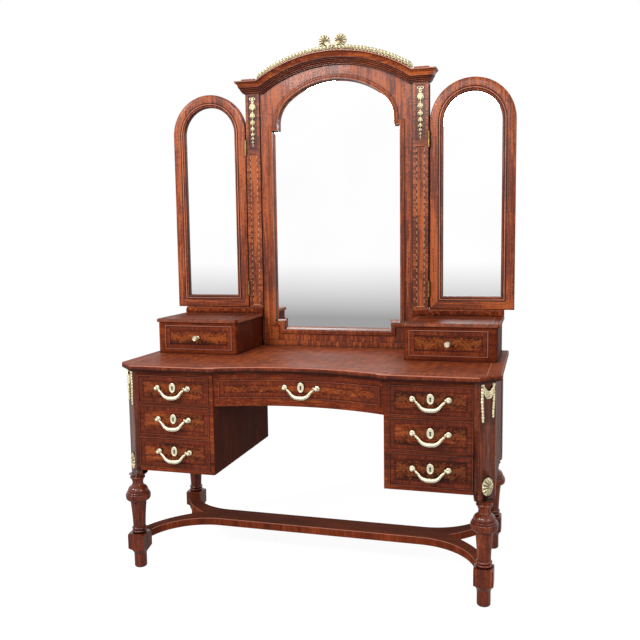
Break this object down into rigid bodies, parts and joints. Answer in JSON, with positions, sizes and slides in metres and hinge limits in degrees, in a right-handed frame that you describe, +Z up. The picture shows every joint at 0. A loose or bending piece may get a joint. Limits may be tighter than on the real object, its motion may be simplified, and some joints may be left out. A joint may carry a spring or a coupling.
{
  "type": "dressing table",
  "caption": "Kneehole dressing table with drawers in two pedestals on turned legs, a curved stretcher, small drawer boxes on the top and a hinged three-part arched mirror.",
  "frame": {"origin": "on the floor at the middle of the table's width and depth", "axes": "+X to the table's right as seen from the front, +Y to the back, +Z up; drawers open towards -Y"},
  "size_m": [1.38, 0.608, 1.9748],
  "materials": {
    "mahogany_top": "French-polished veneer, laid in a diagonal pattern",
    "mahogany_case": "polished veneer",
    "mahogany_front": "polished veneer with stringing",
    "mahogany_frame": "polished veneer and mouldings",
    "mahogany_leg": "polished solid wood",
    "mahogany_stretcher": "polished veneer",
    "drawer_lining": "bare pale wood",
    "secondary_wood": "bare wood",
    "gilt_brass": "gilt, burnished on the high points",
    "hinge_brass": "aged brass",
    "mirror_plate": "silvered glass"
  },
  "bodies": {
    "case": {"top_slab": "mahogany_top", "centre_frieze_case": "mahogany_case", "stretcher": "mahogany_stretcher", "mirror_frame": "mahogany_frame", "mirror_glass": "mirror_plate", "mirror_backboard": "secondary_wood", "cornice": "mahogany_frame", "gilt_crest": "gilt_brass", "gilt_mounts": "gilt_brass", "hinge_fixed_leaves": "hinge_brass", "right_pedestal_case": "mahogany_case", "right_front_leg": "mahogany_leg", "right_rear_leg": "mahogany_leg", "right_jewel_case": "mahogany_case", "left_pedestal_case": "mahogany_case", "left_front_leg": "mahogany_leg", "left_rear_leg": "mahogany_leg", "left_jewel_case": "mahogany_case"},
    "right_wing": {"right_wing_frame": "mahogany_frame", "right_wing_glass": "mirror_plate", "right_wing_backboard": "secondary_wood", "right_wing_hinge_leaves": "hinge_brass"},
    "right_jewel_drawer": {"right_jewel_drawer_front": "mahogany_front", "right_jewel_drawer_box": "drawer_lining"},
    "right_upper_drawer": {"right_upper_drawer_front": "mahogany_front", "right_upper_drawer_box": "drawer_lining", "right_upper_drawer_fittings": "gilt_brass"},
    "right_upper_bail": {"right_upper_drawer_bail": "gilt_brass"},
    "right_middle_drawer": {"right_middle_drawer_front": "mahogany_front", "right_middle_drawer_box": "drawer_lining", "right_middle_drawer_fittings": "gilt_brass"},
    "right_middle_bail": {"right_middle_drawer_bail": "gilt_brass"},
    "right_lower_drawer": {"right_lower_drawer_front": "mahogany_front", "right_lower_drawer_box": "drawer_lining", "right_lower_drawer_fittings": "gilt_brass"},
    "right_lower_bail": {"right_lower_drawer_bail": "gilt_brass"},
    "left_wing": {"left_wing_frame": "mahogany_frame", "left_wing_glass": "mirror_plate", "left_wing_backboard": "secondary_wood", "left_wing_hinge_leaves": "hinge_brass"},
    "left_jewel_drawer": {"left_jewel_drawer_front": "mahogany_front", "left_jewel_drawer_box": "drawer_lining"},
    "left_upper_drawer": {"left_upper_drawer_front": "mahogany_front", "left_upper_drawer_box": "drawer_lining", "left_upper_drawer_fittings": "gilt_brass"},
    "left_upper_bail": {"left_upper_drawer_bail": "gilt_brass"},
    "left_middle_drawer": {"left_middle_drawer_front": "mahogany_front", "left_middle_drawer_box": "drawer_lining", "left_middle_drawer_fittings": "gilt_brass"},
    "left_middle_bail": {"left_middle_drawer_bail": "gilt_brass"},
    "left_lower_drawer": {"left_lower_drawer_front": "mahogany_front", "left_lower_drawer_box": "drawer_lining", "left_lower_drawer_fittings": "gilt_brass"},
    "left_lower_bail": {"left_lower_drawer_bail": "gilt_brass"},
    "centre_drawer": {"centre_drawer_front": "mahogany_front", "centre_drawer_box": "drawer_lining", "centre_drawer_fittings": "gilt_brass"},
    "centre_bail": {"centre_drawer_bail": "gilt_brass"}
  },
  "joints": [
    {"name": "right_wing_hinge", "type": "hinge", "parent": "case", "child": "right_wing", "pos_m": [0.3695, 0.2645, 1.2785], "axis": [0, 0, -1], "range_deg": [0, 90]},
    {"name": "right_jewel_drawer_slide", "type": "slide", "parent": "case", "child": "right_jewel_drawer", "axis": [0, -1, 0], "range_m": [0, 0.17]},
    {"name": "right_upper_drawer_slide", "type": "slide", "parent": "case", "child": "right_upper_drawer", "axis": [0, -1, 0], "range_m": [0, 0.3]},
    {"name": "right_upper_bail_hinge", "type": "hinge", "parent": "right_upper_drawer", "child": "right_upper_bail", "pos_m": [0.45175, -0.2935, 0.679], "axis": [-1, 0, 0], "range_deg": [0, 80]},
    {"name": "right_middle_drawer_slide", "type": "slide", "parent": "case", "child": "right_middle_drawer", "axis": [0, -1, 0], "range_m": [0, 0.3]},
    {"name": "right_middle_bail_hinge", "type": "hinge", "parent": "right_middle_drawer", "child": "right_middle_bail", "pos_m": [0.45175, -0.2935, 0.5675], "axis": [-1, 0, 0], "range_deg": [0, 80]},
    {"name": "right_lower_drawer_slide", "type": "slide", "parent": "case", "child": "right_lower_drawer", "axis": [0, -1, 0], "range_m": [0, 0.3]},
    {"name": "right_lower_bail_hinge", "type": "hinge", "parent": "right_lower_drawer", "child": "right_lower_bail", "pos_m": [0.45175, -0.2935, 0.451], "axis": [-1, 0, 0], "range_deg": [0, 80]},
    {"name": "left_wing_hinge", "type": "hinge", "parent": "case", "child": "left_wing", "pos_m": [-0.3695, 0.2645, 1.2785], "axis": [0, 0, 1], "range_deg": [0, 90]},
    {"name": "left_jewel_drawer_slide", "type": "slide", "parent": "case", "child": "left_jewel_drawer", "axis": [0, -1, 0], "range_m": [0, 0.17]},
    {"name": "left_upper_drawer_slide", "type": "slide", "parent": "case", "child": "left_upper_drawer", "axis": [0, -1, 0], "range_m": [0, 0.3]},
    {"name": "left_upper_bail_hinge", "type": "hinge", "parent": "left_upper_drawer", "child": "left_upper_bail", "pos_m": [-0.45175, -0.2935, 0.679], "axis": [-1, 0, 0], "range_deg": [0, 80]},
    {"name": "left_middle_drawer_slide", "type": "slide", "parent": "case", "child": "left_middle_drawer", "axis": [0, -1, 0], "range_m": [0, 0.3]},
    {"name": "left_middle_bail_hinge", "type": "hinge", "parent": "left_middle_drawer", "child": "left_middle_bail", "pos_m": [-0.45175, -0.2935, 0.5675], "axis": [-1, 0, 0], "range_deg": [0, 80]},
    {"name": "left_lower_drawer_slide", "type": "slide", "parent": "case", "child": "left_lower_drawer", "axis": [0, -1, 0], "range_m": [0, 0.3]},
    {"name": "left_lower_bail_hinge", "type": "hinge", "parent": "left_lower_drawer", "child": "left_lower_bail", "pos_m": [-0.45175, -0.2935, 0.451], "axis": [-1, 0, 0], "range_deg": [0, 80]},
    {"name": "centre_drawer_slide", "type": "slide", "parent": "case", "child": "centre_drawer", "axis": [0, -1, 0], "range_m": [0, 0.25]},
    {"name": "centre_bail_hinge", "type": "hinge", "parent": "centre_drawer", "child": "centre_bail", "pos_m": [0, -0.22988, 0.686], "axis": [-1, 0, 0], "range_deg": [0, 80]}
  ]
}
